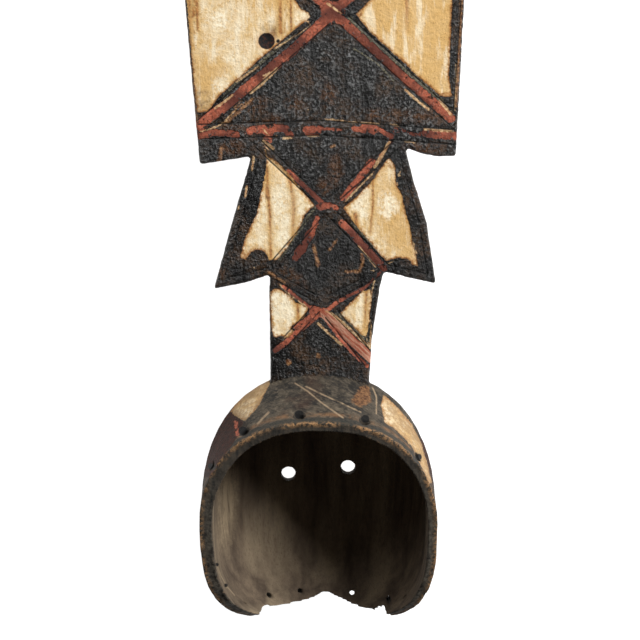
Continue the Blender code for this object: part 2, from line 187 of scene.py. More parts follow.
# Rust stains run down the cream
stainStrokes = [
    (1.6, [(-138, 434), (-137, 401)]), (1.9, [(-45, 434), (-44, 396)]), (1.2, [(-33, 434), (-32, 399)]),
    (1.8, [(-36, 241), (-30, 213), (-30, 169)]), (1.4, [(-60, 247), (-59, 216), (-57, 197), (-56, 146)]),
    (2.4, [(-60, 224), (-59, 214)]), (1.2, [(60, 241), (60, 203), (57, 173)]), (2.2, [(40, 194), (42, 180)]),
    (1.6, [(-26, 95), (-25, 75)]), (1.2, [(53, 109), (51, 59)]), (1.6, [(100, 214), (104, 170)]),
    (2.0, [(-88, 500), (-86, 452)]), (2.0, [(96, 460), (98, 400)]), (1.3, [(-146, 434), (-145, 380)]),
]
stainPatches = [(-134, 322, 9, 15, 0), (-50, 402, 12, 7, 0), (-74, -8, 20, 7, 35), (-143, 420, 6, 26, 0),
                (-92, -42, 16, 5, -38), (100, -50, 30, 3, -50)]
whitePatches = [(-113, 412, 9, 11, 0), (-99, 370, 6, 4, 0), (-26, 411, 9, 6, 30), (-112, 340, 8, 7, 0),
                (-48, 86, 7, 12, 0), (-84, -38, 10, 6, 20), (76, 205, 10, 14, 0), (-46, 205, 7, 20, 0)]
yellowPatches = [(108, 420, 62, 110, 0), (-128, 345, 18, 30, 0), (-60, 440, 40, 22, 0), (84, 190, 26, 60, 8),
                 (-84, -22, 22, 18, 0), (110, -70, 40, 14, -60)]
paleWearAndLightPatches = [(-108, -146, 62, 12, 84)]  # paler wood on the hollow's left wall: a pale smear, and painted light where the lamp falls on that wall
# Brown wear in the black, as strokes and as patches
brownStrokes = [
    (1.6, [(30, 129), (44, 129), (49, 138), (48, 148)]), (1.4, [(11, 154), (19, 165)]),
    (2.0, [(-7, 158), (-2, 137)]), (1.8, [(-107, 297), (-90, 312), (-77, 323)]),
    (1.4, [(-90, 323), (-96, 316)]),
    (2.0, [(-111, 269), (-115, 252)]), (3.0, [(-36, 24), (-36, 25)]), (2.5, [(-2, 31), (-2, 32)]),
    (1.6, [(13, 271), (16, 272)]), (1.5, [(-22, 383), (-21, 383)]), (1.2, [(-58, 128), (-40, 116)]),
    (1.5, [(161, 520), (157, 400), (153, 316)]), (1.3, [(-156, 500), (-151, 420), (-145, 350), (-139, 300)]),
]
brownSpots = [
    (63, 306, 9, 7, 0), (88, 306, 12, 7, 0), (113, 305, 9, 7, 0), (130, 308, 10, 8, -30),
    (-98, 292, 14, 4, 0),
    (-52, 300, 9, 6, 0), (-30, 122, 12, 5, -40), (118, 268, 18, 6, 0), (-120, 126, 10, 6, 0),
    (10, 330, 9, 12, 0),
    (-30, 322, 8, 8, 0), (5, 226, 8, 8, 0), (-100, 270, 12, 7, 0), (18, 245, 8, 16, 0), (-70, 318, 10, 6, 40),
]
# Red-brown down the sides of the crown, and the orange-brown triangle right of the board's foot
rustFields = [[(-57, 4), (-66, -2), (-92, -18), (-103, -32), (-95, -40), (-88, -45), (-96, -64), (-112, -88),
               (-122, -110), (-141, -112), (-136, -78), (-122, -48), (-104, -10), (-70, 10)]]
rustStrokes = [(5.5, [(76, 0), (98, -20), (118, -52), (136, -118)])]
orangeFields = [[(36, -21), (47, -3), (56, -4), (59, -21), (46, -29)]]
knot = (-60, 389, 9.2)
wormHoles = [(-47, 389, 1.9), (36, 429, 1.7)]
lashHoles = [(-24, -37, 5.0), (52, -42, 4.6), (-89, -56, 5.0), (114, -87, 3.8), (-126, -98, 3.4)]
innerHoles = [(-120, -215, 2.0), (-110, -240, 2.2)]  # small lashing holes on the left wall of the hollow

# Lines cut into the board, as in the solid, in millimetres
cutLines = {
    "crossings": [((15.5, 422), [(-133, 295.5, 14.5), (153, 298.5, 14), (-147, 540, 14), (162, 540, 14)]),
                  ((5.7, 203), [(-70, 274, 10), (86, 273, 10), (-54.7, 133, 11), (73.5, 133, 11)]),
                  ((2.3, 93), [(-50, 123, 7.5), (69, 127, 7.5), (-55, 31.5, 10), (58, 24.5, 16)]),
                  ((5, 680), [(-150, 562, 14), (160, 562, 14), (-158, 796, 14), (168, 796, 14)])],
    "bands": [[(-137.2, 287.5), (0, 292), (155.2, 281.5)], [(-157.5, 551), (166.5, 551)],
              [(-172.5, 808), (177, 808)]],
    "bandWidth": 16.5, "halfWidth": 0.75,
    "edges": [[(-110, 120), (-93, 178), (-70, 256)], [(122.5, 126), (112.5, 184), (89, 264)],
              [(-110, 120), (-60, 133)], [(122.5, 126), (76, 136.5)], [(55, 50), (64.5, 111)],
              [(150, 308), (157.5, 434), (165.5, 540)]],
}

# The hidden face is plainer, in the same colours, in millimetres seen square from the back
faceFields = [
    [(-12, -22), (-12, -78), (-62, -46)], [(12, -22), (12, -78), (62, -46)],
    [(-118, -120), (-86, -150), (-118, -186)], [(116, -120), (84, -150), (116, -186)],
    [(-88, -196), (-46, -196), (-66, -246)], [(86, -196), (46, -196), (66, -246)],
]
faceRed = [
    (3.2, [(0, -8), (0, -96)]), (3.0, [(-74, -40), (-6, -92)]), (3.0, [(74, -40), (6, -92)]),
    (3.0, [(-98, -190), (-40, -190)]), (3.0, [(98, -190), (40, -190)]),
]

# Relief of the skin and the size of its lumps in metres, and how freely faces are spared
surface = {
    "voxel": 0.0017, "triangles": 186000, "evenness": 2e-5,
    "spareSeen": 0.05, "spareHidden": 0.5, "spareHollow": 0.35,
    "adze": 0.00045, "adzeSize": 0.045, "crust": 0.00036, "crustSize": 0.0052,
    "hollowFacets": 0.0009, "hollowFacetSize": 0.021, "domeFacets": 0.0007, "domeFacetSize": 0.016,
    "chips": 0.0016, "chipSize": 0.008, "creamSink": 0.00035,
    "cutSink": 0.0008, "cutSize": 0.012, "lashDent": 0.0022,
}

lights = {
    "key": {"place": (2.7, 2.1, 2.6), "size": 1.5, "power": 250},
    "fill": {"place": (-1.2, 2.6, 1.6), "size": 1.6, "power": 34},
    "aim": (0, 0.05, 0.0), "world": 0.05,
}


def softNoise(points, size, seed, stretch=(1, 1, 1)):  # random lumps of one size, from -1 to 1
    table = np.random.default_rng(seed).uniform(-1, 1, (32, 32, 32))
    spots = points / (np.array(stretch) * size)
    cell = np.floor(spots).astype(int)
    part = spots - cell
    part = part * part * (3 - 2 * part)
    total = np.zeros(len(points))
    for corner in np.ndindex(2, 2, 2):
        near = np.array(corner)
        index = (cell + near) % 32
        weight = np.prod(np.where(near == 1, part, 1 - part), axis=1)
        total += weight * table[index[:, 0], index[:, 1], index[:, 2]]
    return total


def fromLine(spots, points):  # distance from a broken line
    nearest = np.full(len(spots), 1e6)
    for start, end in zip(points, points[1:]):
        start, run = np.array(start, float), np.subtract(end, start).astype(float)
        away = spots - start
        along = np.clip(away @ run / (run @ run), 0, 1)
        nearest = np.minimum(nearest, np.hypot(*(away - along[:, None] * run).T))
    return nearest


def insideOutline(spots, outline):  # depth within a closed outline, negative outside it
    inside = np.zeros(len(spots), bool)
    for start, end in zip(outline, outline[1:] + outline[:1]):
        crosses = (start[1] > spots[:, 1]) != (end[1] > spots[:, 1])
        rise = end[1] - start[1] or 1e-9
        across = start[0] + (spots[:, 1] - start[1]) * (end[0] - start[0]) / rise
        inside ^= crosses & (spots[:, 0] < across)
    nearest = fromLine(spots, outline + outline[:1])
    return np.where(inside, nearest, -nearest)


def insidePatch(spots, x, y, long, wide, turn):
    angle = math.radians(turn)
    aside, up = spots[:, 0] - x, spots[:, 1] - y
    along = aside * math.cos(angle) + up * math.sin(angle)
    over = up * math.cos(angle) - aside * math.sin(angle)
    return (1 - np.hypot(along / long, over / wide)) * min(long, wide)


def nearestStroke(spots, strokes):  # way to the stroke that covers each spot best, and its half width
    best = np.full(len(spots), -1e6)
    found = np.zeros((len(spots), 3))
    for halfWidth, points in strokes:
        for start, end in zip(points, points[1:]):
            start, run = np.array(start, float), np.subtract(end, start).astype(float)
            away = spots - start
            share = np.clip(away @ run / (run @ run), 0, 1)
            way = away - share[:, None] * run
            depth = halfWidth - np.hypot(way[:, 0], way[:, 1])
            better = depth > best
            best[better] = depth[better]
            found[better, :2] = way[better]
            found[better, 2] = halfWidth
    return found, best


def deepest(spots, outlines=(), patches=()):  # depth within the nearest of some shapes
    depth = np.full(len(spots), -float(farAway))
    for outline in outlines:
        depth = np.maximum(depth, insideOutline(spots, outline))
    for patch in patches:
        depth = np.maximum(depth, insidePatch(spots, *patch))
    return depth


def bandSides(start, end, width):
    run = np.subtract(end, start).astype(float)
    aside = np.array((-run[1], run[0])) / np.hypot(*run) * width / 2
    return [(start + aside, end + aside), (start - aside, end - aside)]


def carvedLines():  # every line cut into the board, as pairs of ends
    lines = []
    for cross, arms in cutLines["crossings"]:
        for x, y, width in arms:
            run = np.subtract((x, y), cross)
            start = np.array(cross) + run / np.hypot(*run) * width
            lines += bandSides(start, np.array((x, y)), width)
    for band in cutLines["bands"]:
        for start, end in zip(band, band[1:]):
            lines += bandSides(np.array(start), np.array(end), cutLines["bandWidth"])
    for edge in cutLines["edges"]:
        lines += list(zip(edge, edge[1:]))
    return lines


def headLevel(points, hollow=False):  # 1 on the wall of the head, less within it
    side = head["side"] - (head["wall"] if hollow else 0)
    top = head["top"] - (head["wall"] if hollow else 0)
    bottom = head["bottom"] - (head["wallJaw"] if hollow else 0)
    front = head["front"] - (head["wallFront"] if hollow else 0)
    up = points[:, 1] - head["middle"]
    shift = head["shift"] + (head["hollowShift"] if hollow else 0)
    aside = points[:, 0] - shift - head["lean"] * up
    radius = np.hypot(aside, up) + 1e-9
    cosine, sine = np.abs(aside / radius), up / radius
    crown = ((cosine / side) ** head["crownRoundness"]
             + (np.abs(sine) / top) ** head["crownRoundness"]) ** (-1 / head["crownRoundness"])
    jaw = ((cosine / side) ** head["jawRoundness"]
           + (np.abs(sine) / bottom) ** head["jawRoundness"]) ** (-1 / head["jawRoundness"])
    share = radius / np.where(sine > 0, crown, jaw)
    behind = np.maximum(0, points[:, 2] - head["widest"]) / head["slopeReach"]
    slope = head["sideSlope"] + (head["crownSlope"] - head["sideSlope"]) * np.maximum(0, sine) ** 2
    ahead = np.maximum(0, head["widest"] - points[:, 2]) / front
    bowl = (share ** head["faceRoundness"] + ahead ** head["faceRoundness"]) ** (1 / head["faceRoundness"])
    return np.where(ahead > 0, bowl, share / (1 - slope * behind ** head["slopeBend"]))


def rimDepth(points):  # how far below the cut back edge of the head, in millimetres
    heights = [height for height, _ in reversed(rimLine)]
    depths = [depth for _, depth in reversed(rimLine)]
    return (np.interp(points[:, 1], heights, depths) - points[:, 2]) * 1000


def readPoints(mesh):
    points = np.empty(len(mesh.vertices) * 3)
    mesh.vertices.foreach_get("co", points)
    return points.reshape(-1, 3)


def readNormals(mesh):
    normals = np.empty(len(mesh.vertices) * 3, np.float32)
    mesh.vertex_normals.foreach_get("vector", normals)
    return normals.reshape(-1, 3).astype(float)


def writePoints(mesh, points):
    mesh.vertices.foreach_set("co", points.ravel())
    mesh.update()


def convexity(mesh, points, normals, rounds=2):  # above 0 on worn corners, below 0 in grooves
    ends = np.empty(len(mesh.edges) * 2, int)
    mesh.edges.foreach_get("vertices", ends)
    ends = ends.reshape(-1, 2)
    count = np.bincount(ends.ravel(), minlength=len(points)).astype(float)[:, None]
    mean = np.zeros_like(points)
    reach = np.zeros((len(points), 1))
    span = np.linalg.norm(points[ends[:, 0]] - points[ends[:, 1]], axis=1)[:, None]
    for near, far in ((0, 1), (1, 0)):
        np.add.at(mean, ends[:, near], points[ends[:, far]])
        np.add.at(reach, ends[:, near], span)
    bend = -np.sum((mean / count - points) * normals, axis=1) / (reach / count)[:, 0]
    for _ in range(rounds):
        total = np.zeros(len(points))
        for near, far in ((0, 1), (1, 0)):
            np.add.at(total, ends[:, near], bend[ends[:, far]])
        bend = (bend + total / count[:, 0]) / 2
    return bend


def applyModifiers(piece):
    graph = bpy.context.evaluated_depsgraph_get()
    finished = bpy.data.meshes.new_from_object(piece.evaluated_get(graph))
    old = piece.data
    piece.modifiers.clear()
    piece.data = finished
    bpy.data.meshes.remove(old)


def copySolid(node, name):  # the solid's mesh, merged and stood upright in carving axes
    shape = bmesh.new()
    shape.from_mesh(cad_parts[node].data)
    bmesh.ops.remove_doubles(shape, verts=shape.verts, dist=1e-6)
    bmesh.ops.transform(shape, matrix=upright.inverted(), verts=shape.verts)
    mesh = bpy.data.meshes.new(name)
    shape.to_mesh(mesh)
    shape.free()
    piece = bpy.data.objects.new(name, mesh)
    bpy.context.scene.collection.objects.link(piece)
    return piece


def zonesOf(points):  # shares from 0 to 1: on the board, in the hollow, on cut edges of the wall
    outer, inner = headLevel(points), headLevel(points, hollow=True)
    depth = points[:, 2]
    board = (outer > zones["board"]) & (points[:, 1] > zones["boardFoot"])
    board &= (depth < zones["boardBack"]) & (depth > zones["boardFront"])
    hollow = (inner < zones["hollow"]) & ~board
    cutWall = (outer < zones["wall"]) & (inner >= zones["hollow"]) & ~board
    return board.astype(float), hollow.astype(float), cutWall.astype(float)


def seenSpots(points):  # where the camera sees each point on the plane of the board's back, in mm
    sight = eyePoint.z / (eyePoint.z - points[:, 2])
    return np.stack((points[:, 0] * sight, eyePoint.y + (points[:, 1] - eyePoint.y) * sight), 1) * 1000


def wearSurface(piece):  # tool marks, crusty paint and worn corners, as small moves along the normals
    points, normals = readPoints(piece.data), readNormals(piece.data)
    board, hollow, cutWall = zonesOf(points)
    outside = (1 - board) * (1 - hollow) * (1 - cutWall)
    bend = np.clip(convexity(piece.data, points, normals, 3) * 6, 0, 1)
    moves = surface["adze"] * (softNoise(points, surface["adzeSize"], 11, (1, 2, 1)) - 0.6) * board
    flats = np.abs(softNoise(points, surface["hollowFacetSize"], 12, (1, 2.2, 1)))
    moves += surface["hollowFacets"] * (flats - 0.5) * hollow
    flats = np.abs(softNoise(points, surface["domeFacetSize"], 13, (1.5, 1.0, 1.0)))
    moves -= surface["domeFacets"] * flats * outside
    crust = softNoise(points, surface["crustSize"], 14) - 0.7
    crust += 0.7 * softNoise(points, surface["crustSize"] / 2, 15)
    spots = np.where(board[:, None] > 0, points[:, :2] * 1000, seenSpots(points))
    cream = deepest(spots, creamFields.values())
    moves += surface["crust"] * crust * board * (cream < 0)
    moves -= surface["creamSink"] * board * np.clip(cream / 2, 0, 1)
    chips = np.clip(softNoise(points, surface["chipSize"], 16) - 0.25, 0, 1) + 0.25
    moves -= surface["chips"] * bend * chips * (1 - hollow)
    for x, y, radius in lashHoles:  # burnt and worn round the lashing holes
        near = np.hypot(spots[:, 0] - x, spots[:, 1] - y)
        moves -= surface["lashDent"] * outside * np.clip(1.5 - near / radius / 1.4, 0, 1)
    moves -= surface["cutSink"] * cutWall * (1 + softNoise(points, surface["cutSize"], 17))
    writePoints(piece.data, points + normals * moves[:, None])


def paintPlaces(points):  # flat painting coordinates of every point, and where the face begins
    board, hollow, _ = (zone > 0 for zone in zonesOf(points))
    spots = seenSpots(points)
    spots[board] = points[board, :2] * 1000
    # past the widest line the painting runs straight on over the side of the head
    ahead = ~board & ~hollow & (points[:, 2] < head["widest"])
    middle = np.array((head["shift"], head["middle"]))
    away = points[ahead, :2] - middle
    level = np.stack((points[ahead, 0], points[ahead, 1], np.full(ahead.sum(), head["widest"])), 1)
    spots[ahead] = (middle + away / headLevel(level)[:, None]) * 1000
    return spots, board


def addNumbers(mesh, name, numbers):
    kind, field = ("FLOAT", "value") if numbers.ndim == 1 else ("FLOAT_VECTOR", "vector")
    attribute = mesh.attributes.new(name, kind, "POINT")
    attribute.data.foreach_set(field, numbers.astype(np.float32).ravel())


def measurePaint(piece):  # every painted shape becomes a value at each vertex, in millimetres
    points, normals = readPoints(piece.data), readNormals(piece.data)
    spots, board = paintPlaces(points)
    outer, inner = headLevel(points), headLevel(points, hollow=True)
    hollow = zonesOf(points)[1]
    face = ~board & (points[:, 2] < zones["face"]) & (hollow < 0.5)
    flat = points[:, :2] * 1000
    behind = (zones["hollow"] - inner) * levelSpan["hollow"]
    within = np.where(board, -9.0, np.clip(behind, -9, 9))
    passed = (head["widest"] - points[:, 2]) * 1000 - 26 - 12 * softNoise(points, 0.024, 21)
    passed = np.where(board, -farAway, passed)  # the painting is worn away past the widest line
    rim = rimDepth(points)
    cut = np.maximum(1.4 - rim, np.minimum((zones["wall"] - outer) * levelSpan["wall"], -behind))
    values = {
        "onBoard": np.where(board, 3.0, -3.0), "hollow": np.minimum(within, rim - 0.5),
        "cutWall": np.where(board, -9.0, np.clip(cut, -9, 9)), "rim": rim,
        "orange": deepest(spots, orangeFields), "rust": np.minimum(-passed, deepest(spots, rustFields)),
        "brown": deepest(spots, patches=brownSpots), "stainPatch": deepest(spots, patches=stainPatches),
        "white": deepest(spots, patches=whitePatches), "yellow": deepest(spots, patches=yellowPatches),
        "paleWearAndLight": deepest(spots, patches=paleWearAndLightPatches),
        "knot": knot[2] - np.hypot(spots[:, 0] - knot[0], spots[:, 1] - knot[1]),
        "convex": convexity(piece.data, points, normals), "height": points[:, 1] * 1000,
        "lip": np.where(board, farAway, np.hypot(rim, (1 - outer) * levelSpan["lip"])),
    }
    cream = deepest(spots, creamFields.values())
    lobe = np.hypot(spots[:, 0] - blackLobe[0], spots[:, 1] - blackLobe[1]) - blackLobe[2]
    rings = np.full(len(points), float(farAway))
    for x, y in head["eyes"]:
        rings = np.minimum(rings, np.hypot(flat[:, 0] - x * 1000, flat[:, 1] - y * 1000))
    mouth = np.hypot(flat[:, 0], flat[:, 1] - carving["mouthHeight"] * 1000)
    faceCream = np.minimum(deepest(flat, faceFields), np.minimum(rings - 37, mouth - 42))
    faceCream = np.maximum(faceCream, 4.4 - np.abs(rings - 28.5))
    facePaint = np.minimum(nearestStroke(flat, faceRed)[1], np.minimum(rings - 36, mouth - 40))
    facePaint = np.maximum(facePaint, np.maximum(3.3 - np.abs(rings - 15), 3.5 - np.abs(mouth - 30)))
    values["cream"] = np.where(face, faceCream, np.minimum(np.minimum(cream, lobe), -passed))
    values["redPatch"] = np.where(face, facePaint, deepest(spots, patches=redPatches))
    values["palePatch"] = deepest(spots, patches=palePatches)
    holes = [(radius, [(x, y), (x, y + 0.1)]) for x, y, radius in wormHoles + innerHoles + lashHoles]
    lines = [(cutLines["halfWidth"], [start, end]) for start, end in carvedLines()]
    families = {
        "red": redStrokes, "pale": paleStrokes, "crown": crownStrokes, "grey": greyStrokes,
        "stain": stainStrokes, "rose": [roseChannel], "brownLine": brownStrokes,
        "rustLine": rustStrokes, "hole": holes, "line": lines,
    }
    for name, strokes in families.items():
        way, depth = nearestStroke(spots, strokes)
        away = way[:, 2] - depth
        away[(face | ~board) if name == "line" else face] = farAway
        away += np.maximum(passed, 0)
        addNumbers(piece.data, name + "Way", way)
        addNumbers(piece.data, name + "Away", away)
    for name, numbers in values.items():
        addNumbers(piece.data, name, numbers)


def spareDetail(piece):  # more faces where the paint is seen, fewer in front and in the hollow
    points = readPoints(piece.data)
    board, hollow, _ = zonesOf(points)
    seen = ((board > 0) & (points[:, 2] > -0.003)) | ((board == 0) & (points[:, 2] > 0.0) & (hollow == 0))
    group = piece.vertex_groups.new(name="spare")
    group.add(np.flatnonzero(seen).tolist(), surface["spareSeen"], "REPLACE")
    group.add(np.flatnonzero(~seen & (hollow == 0)).tolist(), surface["spareHidden"], "REPLACE")
    group.add(np.flatnonzero(~seen & (hollow > 0)).tolist(), surface["spareHollow"], "REPLACE")
    return group.name


def makeMask():
    piece = copySolid("plank_mask", "plankMask")
    remesh = piece.modifiers.new("fine skin", "REMESH")
    remesh.mode = "VOXEL"
    remesh.voxel_size = surface["voxel"]
    applyModifiers(piece)
    print("fine skin:", len(piece.data.polygons), "faces")
    wearSurface(piece)
    print("surface worn")
    count = sum(len(face.vertices) - 2 for face in piece.data.polygons)
    thin = piece.modifiers.new("fewer faces", "DECIMATE")
    thin.ratio = surface["triangles"] / count
    thin.vertex_group = spareDetail(piece)
    thin.vertex_group_factor = surface["evenness"]
    applyModifiers(piece)
    print("thinned to", len(piece.data.polygons), "triangles")
    measurePaint(piece)
    print("painting measured")
    piece.data.transform(upright)
    points = np.clip(readPoints(piece.data), np.array(cadBox[0]), np.array(cadBox[1]))
    writePoints(piece.data, points)
    piece.data.shade_smooth()
    return piece


def colour(red, green, blue):  # a colour given as on a screen, as the shader wants it
    linear = [(part / 255 / 12.92 if part < 10.5 else ((part / 255 + 0.055) / 1.055) ** 2.4)
              for part in (red, green, blue)]
    return (*linear, 1)


shades = {
    "creamLight": colour(244, 231, 202), "cream": colour(229, 205, 160),
    "creamYellow": colour(206, 164, 98), "stain": colour(168, 110, 54), "stainDeep": colour(104, 60, 28),
    "olive": colour(122, 96, 54), "soil": colour(148, 122, 88), "red": colour(146, 72, 50),
    "redBright": colour(188, 98, 70), "redDark": colour(94, 46, 34), "rose": colour(178, 134, 110),
    "rust": colour(58, 27, 11), "rustDark": colour(24, 13, 6), "black": colour(11, 9, 8),
    "blackGrey": colour(26, 24, 22), "paintedGlintGrey": colour(132, 132, 131), "paintedSheenGrey": colour(74, 74, 73),
    "crackAndShade": colour(9, 8, 7), "wornBrown": colour(74, 52, 32), "tan": colour(172, 126, 82),
    "greyGreen": colour(118, 112, 90), "greyDark": colour(56, 53, 44), "pale": colour(216, 184, 138),
    "charcoal": colour(60, 54, 46), "charcoalDark": colour(28, 26, 23), "smear": colour(100, 89, 73),
    "fibre": colour(126, 113, 95), "band": colour(38, 39, 35), "orange": colour(126, 90, 58),
    "hollow": colour(110, 95, 78), "paleWearAndLight": colour(172, 152, 122), "hollowDark": colour(73, 61, 50),
    "hollowPale": colour(154, 137, 112), "rim": colour(58, 51, 42), "rimGrey": colour(84, 78, 68),
    "rimChip": colour(168, 130, 88),
}
finish = {
    "gloss": 0.38, "bump": 0.9, "bumpHeight": 0.001,
    "paintedRoughness": 0.80, "bareRoughness": 0.95, "crustRoughness": 0.15, "crustSpread": 0.34,
}


class NodeBench:  # short names for wiring a material
    def __init__(self, material):
        material.use_nodes = True
        self.tree = material.node_tree

    def put(self, kind, inputs=(), **settings):
        node = self.tree.nodes.new(kind)
        for name, value in settings.items():
            setattr(node, name, value)
        for socket, value in dict(inputs).items():
            self.feed(node.inputs[socket], value)
        return node

    def feed(self, socket, value):
        if isinstance(value, bpy.types.NodeSocket):
            self.tree.links.new(value, socket)
        else:
            socket.default_value = value

    def value(self, name):
        return self.put("ShaderNodeAttribute", attribute_name=name).outputs["Fac"]

    def calc(self, operation, first, second=0.0, third=0.0):
        inputs = {0: first, 1: second, 2: third}
        return self.put("ShaderNodeMath", inputs, operation=operation).outputs[0]

    def ramp(self, value, low, high):  # 0 at low, 1 at high
        inputs = {"Value": value, "From Min": low, "From Max": high}
        return self.put("ShaderNodeMapRange", inputs).outputs[0]

    def mix(self, share, under, over):
        node = self.put("ShaderNodeMix", data_type="RGBA")
        self.feed(node.inputs["Factor"], share)
        self.feed(node.inputs[6], under)
        self.feed(node.inputs[7], over)
        return node.outputs[2]

    def blend(self, share, under, over):  # the same for plain numbers
        node = self.put("ShaderNodeMix", data_type="FLOAT")
        self.feed(node.inputs["Factor"], share)
        self.feed(node.inputs[2], under)
        self.feed(node.inputs[3], over)
        return node.outputs[0]

    def stroke(self, name):  # depth within the strokes of one family, exact between the vertices
        way = self.put("ShaderNodeAttribute", attribute_name=name + "Way").outputs["Vector"]
        parts = self.put("ShaderNodeSeparateXYZ", {"Vector": way}).outputs
        square = self.calc("MULTIPLY_ADD", parts[1], parts[1], self.calc("MULTIPLY", parts[0], parts[0]))
        depth = self.calc("SUBTRACT", parts[2], self.calc("SQRT", square))
        near = self.calc("SUBTRACT", self.calc("ADD", parts[2], 2.0), self.value(name + "Away"))
        return self.calc("MINIMUM", depth, near)

    def stretched(self, place, turn, scale):  # coordinates drawn out along one turned direction
        inputs = {"Vector": place, "Rotation": turn, "Scale": scale}
        return self.put("ShaderNodeMapping", inputs, vector_type="TEXTURE").outputs[0]

    def noise(self, place, scale, detail=2.0, roughness=0.5, twist=0.0):
        inputs = {"Vector": place, "Scale": scale, "Detail": detail, "Roughness": roughness}
        inputs["Distortion"] = twist
        return self.put("ShaderNodeTexNoise", inputs).outputs["Fac"]


def makePaintedWood():
    material = bpy.data.materials.new("paintedWood")
    bench = NodeBench(material)
    calc, ramp, mix, noise, value = bench.calc, bench.ramp, bench.mix, bench.noise, bench.value
    place = bench.put("ShaderNodeTexCoord").outputs["Object"]
    along = bench.stretched(place, (0, 0, 0), (1, 7.5, 1))
    across = bench.stretched(place, (0, -0.3, -0.75), (8, 1, 1))
    counter = bench.stretched(place, (0, 0.3, 0.95), (8, 1, 1))

    clouds = noise(place, 26, 3)
    lumps = noise(place, 90, 3, 0.6)
    flakes = noise(place, 290, 4, 0.6)
    grit = noise(place, 850, 3, 0.65)
    mottles = noise(place, 200, 4, 0.65)
    streaks = noise(along, 190, 3, 0.6, 0.4)
    fibres = noise(along, 620, 3, 0.6)
    ragged = calc("MULTIPLY_ADD", flakes, 7.0, -3.5)
    ragged = calc("ADD", ragged, calc("MULTIPLY_ADD", grit, 3.6, -1.8))
    ragged = calc("ADD", ragged, calc("MULTIPLY_ADD", lumps, 5.0, -2.5))

    def both(first, second):
        return calc("MULTIPLY", first, second)

    def edged(depth, amount=1.0, soft=0.35):  # a painted shape with a ragged edge
        return ramp(calc("MULTIPLY_ADD", ragged, amount, depth), -soft, soft)

    # thick black paint: crusty, cracked along the grain, worn to brown in places, with painted sheen, painted
    # glints and painted shade in its pits
    clumps = noise(place, 310, 3, 0.55)
    bands = noise(along, 38, 3, 0.6)
    black = mix(ramp(lumps, 0.42, 0.66), shades["black"], shades["blackGrey"])
    # painted reflection: broad grey sheen patches painted into the black where a glossy reflection of the
    # lamp would fall
    paintedSheen = both(ramp(bands, 0.47, 0.66), ramp(noise(place, 14, 2), 0.42, 0.58))
    paintedGlintZone = both(ramp(value("height"), 215, 300), ramp(value("height"), 430, 380))
    black = mix(both(paintedSheen, bench.blend(paintedGlintZone, 0.12, 0.35)), black, shades["paintedSheenGrey"])
    # painted shade: the low pits of the crust relief are painted near-black
    black = mix(ramp(clumps, 0.47, 0.37), black, shades["crackAndShade"])
    # painted highlights: light grey glints and glitter painted into the black, strongest in the painted glint
    # zone
    paintedGlitter = both(ramp(clumps, 0.55, 0.70), ramp(bands, 0.38, 0.62))
    paintedGlitter = calc("MAXIMUM", paintedGlitter, both(both(ramp(grit, 0.58, 0.70), ramp(bands, 0.45, 0.6)), 0.5))
    black = mix(both(paintedGlitter, 0.6), black, shades["paintedGlintGrey"])
    paintedGlints = both(both(ramp(clumps, 0.50, 0.61), ramp(bands, 0.36, 0.58)), paintedGlintZone)
    black = mix(both(paintedGlints, 0.6), black, shades["paintedGlintGrey"])
    black = mix(ramp(streaks, 0.44, 0.34), black, shades["crackAndShade"])
    brownShare = both(ramp(clouds, 0.46, 0.64), ramp(mottles, 0.42, 0.56))
    black = mix(both(brownShare, 0.75), black, shades["wornBrown"])
    spotColour = mix(ramp(grit, 0.45, 0.65), shades["wornBrown"], shades["stainDeep"])
    black = mix(both(edged(value("brown"), 1.4, 4.5), ramp(mottles, 0.40, 0.58)), black, spotColour)
    lineColour = mix(ramp(flakes, 0.40, 0.60), shades["stainDeep"], shades["tan"])
    black = mix(both(edged(bench.stroke("brownLine"), 0.5, 0.9), 0.75), black, lineColour)
    wornTop = both(ramp(value("convex"), 0.08, 0.26), ramp(flakes, 0.46, 0.62))
    black = mix(wornTop, black, shades["wornBrown"])

    # worn charcoal over the crown, scratched both ways
    charcoal = mix(ramp(lumps, 0.35, 0.65), shades["charcoalDark"], shades["charcoal"])
    charcoal = mix(both(ramp(noise(across, 55, 4, 0.6), 0.42, 0.62), 0.5), charcoal, shades["smear"])
    charcoal = mix(both(ramp(noise(across, 300, 3, 0.65), 0.50, 0.70), 0.4), charcoal, shades["fibre"])
    scratches = ramp(noise(counter, 240, 3, 0.65), 0.50, 0.36)
    charcoal = mix(both(scratches, 0.7), charcoal, shades["charcoalDark"])
    charcoal = mix(both(ramp(clouds, 0.52, 0.68), 0.35), charcoal, shades["rust"])
    rimBand = ramp(calc("MULTIPLY_ADD", ragged, 0.5, value("rim")), 14.0, 11.5)
    bandColour = mix(ramp(flakes, 0.4, 0.7), shades["band"], shades["charcoal"])
    charcoal = mix(both(rimBand, 0.85), charcoal, bandColour)
    arc = ramp(calc("ABSOLUTE", calc("SUBTRACT", value("rim"), 19.0)), 6.0, 1.0)
    charcoal = mix(both(both(arc, 0.6), ramp(lumps, 0.36, 0.60)), charcoal, shades["orange"])
    rustColour = mix(ramp(flakes, 0.35, 0.65), shades["rustDark"], shades["rust"])
    rustColour = mix(both(ramp(noise(along, 300, 3, 0.6), 0.5, 0.7), 0.5), rustColour, shades["redDark"])
    rustShare = calc("MAXIMUM", edged(value("rust"), 0.6, 0.9), edged(bench.stroke("rustLine"), 0.5, 0.6))
    charcoal = mix(rustShare, charcoal, rustColour)
    orangeColour = mix(ramp(flakes, 0.35, 0.6), shades["rust"], shades["orange"])
    charcoal = mix(both(edged(value("orange"), 0.8, 1.2), 0.9), charcoal, orangeColour)
    onBoard = ramp(value("onBoard"), -0.5, 0.5)
    base = mix(onBoard, charcoal, black)

    # grey-green undercoat beside the bands
    greyShare = both(edged(bench.stroke("grey"), 0.35, 0.4), 0.9)
    greyColour = mix(ramp(clumps, 0.42, 0.62), shades["greyDark"], shades["greyGreen"])
    base = mix(greyShare, base, greyColour)

